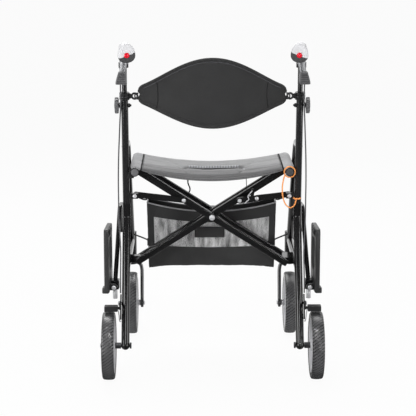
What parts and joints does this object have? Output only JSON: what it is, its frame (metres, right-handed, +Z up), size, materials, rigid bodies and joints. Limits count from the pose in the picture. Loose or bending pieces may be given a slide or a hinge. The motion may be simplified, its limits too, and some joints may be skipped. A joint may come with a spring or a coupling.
{
  "type": "rollator transport chair",
  "caption": "Folding rollator that doubles as a transport chair, with a sling seat, a backrest strap, swing-away footrests, hand brakes and an under-seat bag on a cross-braced frame.",
  "frame": {"origin": "on the floor, midway between the wheels", "axes": "+Z up, +Y forwards in the walking direction, +X to the right of the person who pushes"},
  "size_m": [0.6586, 0.68, 0.9848],
  "materials": {
    "gloss_black_tube": "gloss",
    "graphite_tube": "satin",
    "black_plastic": "matte",
    "grey_plastic": "satin",
    "plate_plastic": "satin",
    "rim_plastic": "satin",
    "steel": "satin",
    "fork_alloy": "satin",
    "tyre_rubber": "matte",
    "seat_fabric": "woven",
    "back_fabric": "woven",
    "bag_fabric": "woven",
    "orange_elastic": "satin",
    "red_reflector": "gloss",
    "cable_jacket": "satin"
  },
  "bodies": {
    "left_frame": {"left_sleeve": "graphite_tube", "left_rear_leg": "gloss_black_tube", "left_front_leg": "gloss_black_tube", "left_lower_rail": "gloss_black_tube", "left_collar": "black_plastic", "left_saddles": "black_plastic", "left_brace_lug": "gloss_black_tube", "left_socket": "gloss_black_tube", "left_axle": "steel", "left_cable": "cable_jacket"},
    "left_handle": {"left_post": "graphite_tube", "left_grip": "grey_plastic", "left_reflector": "red_reflector", "left_lever_mount": "black_plastic"},
    "left_brake_lever": {"left_lever": "black_plastic"},
    "left_clamp_knob": {"left_knob": "black_plastic"},
    "left_rear_wheel": {"left_rear_rim": "rim_plastic", "left_rear_tyre": "tyre_rubber"},
    "left_caster": {"left_fork": "fork_alloy"},
    "left_front_wheel": {"left_front_rim": "rim_plastic", "left_front_tyre": "tyre_rubber"},
    "left_brake": {"left_brake_arm": "gloss_black_tube"},
    "left_footrest": {"left_hanger": "gloss_black_tube"},
    "left_plate": {"left_footplate": "plate_plastic"},
    "right_frame": {"right_sleeve": "graphite_tube", "right_rear_leg": "gloss_black_tube", "right_front_leg": "gloss_black_tube", "right_lower_rail": "gloss_black_tube", "right_collar": "black_plastic", "right_saddles": "black_plastic", "right_brace_lug": "gloss_black_tube", "right_socket": "gloss_black_tube", "right_axle": "steel", "right_cable": "cable_jacket"},
    "right_handle": {"right_post": "graphite_tube", "right_grip": "grey_plastic", "right_reflector": "red_reflector", "right_lever_mount": "black_plastic"},
    "right_brake_lever": {"right_lever": "black_plastic"},
    "right_clamp_knob": {"right_knob": "black_plastic"},
    "right_rear_wheel": {"right_rear_rim": "rim_plastic", "right_rear_tyre": "tyre_rubber"},
    "right_caster": {"right_fork": "fork_alloy"},
    "right_front_wheel": {"right_front_rim": "rim_plastic", "right_front_tyre": "tyre_rubber"},
    "right_brake": {"right_brake_arm": "gloss_black_tube"},
    "right_footrest": {"right_hanger": "gloss_black_tube"},
    "right_plate": {"right_footplate": "plate_plastic"},
    "brace_a": {"bars_a": "gloss_black_tube", "right_rail": "gloss_black_tube", "brace_bolt": "steel", "fold_loop": "orange_elastic"},
    "brace_b": {"bars_b": "gloss_black_tube", "left_rail": "gloss_black_tube"},
    "left_stay": {"left_link": "gloss_black_tube"},
    "right_stay": {"right_link": "gloss_black_tube"},
    "lock": {"lock_plate": "gloss_black_tube"},
    "seat_sling": {"seat": "seat_fabric"},
    "backrest_sling": {"backrest": "back_fabric"},
    "bag_pouch": {"bag": "bag_fabric"}
  },
  "joints": [
    {"name": "fold", "type": "hinge", "parent": "left_frame", "child": "brace_a", "pos_m": [-0.21928, 0, 0.3053], "axis": [0, -1, 0], "range_deg": [0, 47], "deforming": ["seat", "backrest", "bag", "fold_loop"]},
    {"name": "brace_cross", "type": "hinge", "parent": "brace_a", "child": "brace_b", "pos_m": [0, 0, 0.445], "axis": [0, -1, 0], "range_deg": [-94, 0]},
    {"name": "right_frame_fold", "type": "hinge", "parent": "brace_b", "child": "right_frame", "pos_m": [0.21928, 0, 0.3053], "axis": [0, -1, 0], "range_deg": [0, 47]},
    {"name": "seat_level", "type": "hinge", "parent": "brace_a", "child": "seat_sling", "pos_m": [0, 0, 0.445], "axis": [0, -1, 0], "range_deg": [-47, 0]},
    {"name": "backrest_shift", "type": "slide", "parent": "left_frame", "child": "backrest_sling", "axis": [1, 0, 0], "range_m": [-0.172, 0]},
    {"name": "bag_shift", "type": "slide", "parent": "left_frame", "child": "bag_pouch", "axis": [1, 0, 0], "range_m": [-0.172, 0]},
    {"name": "left_stay_turn", "type": "hinge", "parent": "left_frame", "child": "left_stay", "pos_m": [-0.2275, -0.061, 0.516], "axis": [0, -1, 0], "range_deg": [0, 82.26]},
    {"name": "right_stay_turn", "type": "hinge", "parent": "right_frame", "child": "right_stay", "pos_m": [0.2275, -0.061, 0.516], "axis": [0, -1, 0], "range_deg": [-82.26, 0]},
    {"name": "lock_release", "type": "hinge", "parent": "right_stay", "child": "lock", "pos_m": [0.13419, -0.065, 0.50463], "axis": [0, -1, 0], "range_deg": [-25, 0], "stiffness_Nm_per_rad": 0.5},
    {"name": "left_rear_roll", "type": "hinge", "parent": "left_frame", "child": "left_rear_wheel", "pos_m": [-0.304, -0.24, 0.1], "axis": [1, 0, 0], "continuous": true},
    {"name": "left_swivel", "type": "hinge", "parent": "left_frame", "child": "left_caster", "pos_m": [-0.256, 0.27, 0.28], "axis": [0, 0, 1], "continuous": true},
    {"name": "left_front_roll", "type": "hinge", "parent": "left_caster", "child": "left_front_wheel", "pos_m": [-0.256, 0.24, 0.1], "axis": [1, 0, 0], "continuous": true},
    {"name": "left_height", "type": "slide", "parent": "left_frame", "child": "left_handle", "axis": [0, -0.1305, 0.9914], "range_m": [-0.06, 0.06], "deforming": ["left_cable"]},
    {"name": "left_knob_turn", "type": "hinge", "parent": "left_frame", "child": "left_clamp_knob", "pos_m": [-0.276, -0.11503, 0.792], "axis": [1, 0, 0], "range_deg": [0, 270]},
    {"name": "left_brake_squeeze", "type": "hinge", "parent": "left_handle", "child": "left_brake_lever", "pos_m": [-0.256, -0.16014, 0.922], "axis": [-1, 0, 0], "range_deg": [0, 8], "stiffness_Nm_per_rad": 3},
    {"name": "left_shoe_press", "type": "hinge", "parent": "left_frame", "child": "left_brake", "pos_m": [-0.272, -0.18511, 0.213], "axis": [1, 0, 0], "range_deg": [0, 2.4]},
    {"name": "left_footrest_swing", "type": "hinge", "parent": "left_frame", "child": "left_footrest", "pos_m": [-0.283, 0.185, 0.4], "axis": [0, 0, 1], "range_deg": [-177, 0]},
    {"name": "left_plate_flip", "type": "hinge", "parent": "left_footrest", "child": "left_plate", "pos_m": [-0.29478, -0.03969, 0.232], "axis": [0.0523, 0.9986, 0], "range_deg": [-90, 0]},
    {"name": "right_rear_roll", "type": "hinge", "parent": "right_frame", "child": "right_rear_wheel", "pos_m": [0.304, -0.24, 0.1], "axis": [1, 0, 0], "continuous": true},
    {"name": "right_swivel", "type": "hinge", "parent": "right_frame", "child": "right_caster", "pos_m": [0.256, 0.27, 0.28], "axis": [0, 0, 1], "continuous": true},
    {"name": "right_front_roll", "type": "hinge", "parent": "right_caster", "child": "right_front_wheel", "pos_m": [0.256, 0.24, 0.1], "axis": [1, 0, 0], "continuous": true},
    {"name": "right_height", "type": "slide", "parent": "right_frame", "child": "right_handle", "axis": [0, -0.1305, 0.9914], "range_m": [-0.06, 0.06], "deforming": ["right_cable"]},
    {"name": "right_knob_turn", "type": "hinge", "parent": "right_frame", "child": "right_clamp_knob", "pos_m": [0.276, -0.11503, 0.792], "axis": [1, 0, 0], "range_deg": [0, 270]},
    {"name": "right_brake_squeeze", "type": "hinge", "parent": "right_handle", "child": "right_brake_lever", "pos_m": [0.256, -0.16014, 0.922], "axis": [-1, 0, 0], "range_deg": [0, 8], "stiffness_Nm_per_rad": 3},
    {"name": "right_shoe_press", "type": "hinge", "parent": "right_frame", "child": "right_brake", "pos_m": [0.272, -0.18511, 0.213], "axis": [1, 0, 0], "range_deg": [0, 2.4]},
    {"name": "right_footrest_swing", "type": "hinge", "parent": "right_frame", "child": "right_footrest", "pos_m": [0.283, 0.185, 0.4], "axis": [0, 0, -1], "range_deg": [-177, 0]},
    {"name": "right_plate_flip", "type": "hinge", "parent": "right_footrest", "child": "right_plate", "pos_m": [0.29478, -0.03969, 0.232], "axis": [0.0523, -0.9986, 0], "range_deg": [-90, 0]}
  ],
  "couplings": [
    {"joint": "brace_cross", "follows": "fold", "ratio": -2},
    {"joint": "right_frame_fold", "follows": "fold", "ratio": 1},
    {"joint": "seat_level", "follows": "fold", "ratio": -1},
    {"joint": "backrest_shift", "follows": "fold", "m_per_rad": -0.2096},
    {"joint": "bag_shift", "follows": "fold", "m_per_rad": -0.2096},
    {"joint": "left_stay_turn", "follows": "fold", "ratio": 1.75},
    {"joint": "right_stay_turn", "follows": "fold", "ratio": -1.75},
    {"joint": "left_shoe_press", "follows": "left_brake_squeeze", "ratio": 0.3},
    {"joint": "right_shoe_press", "follows": "right_brake_squeeze", "ratio": 0.3}
  ]
}
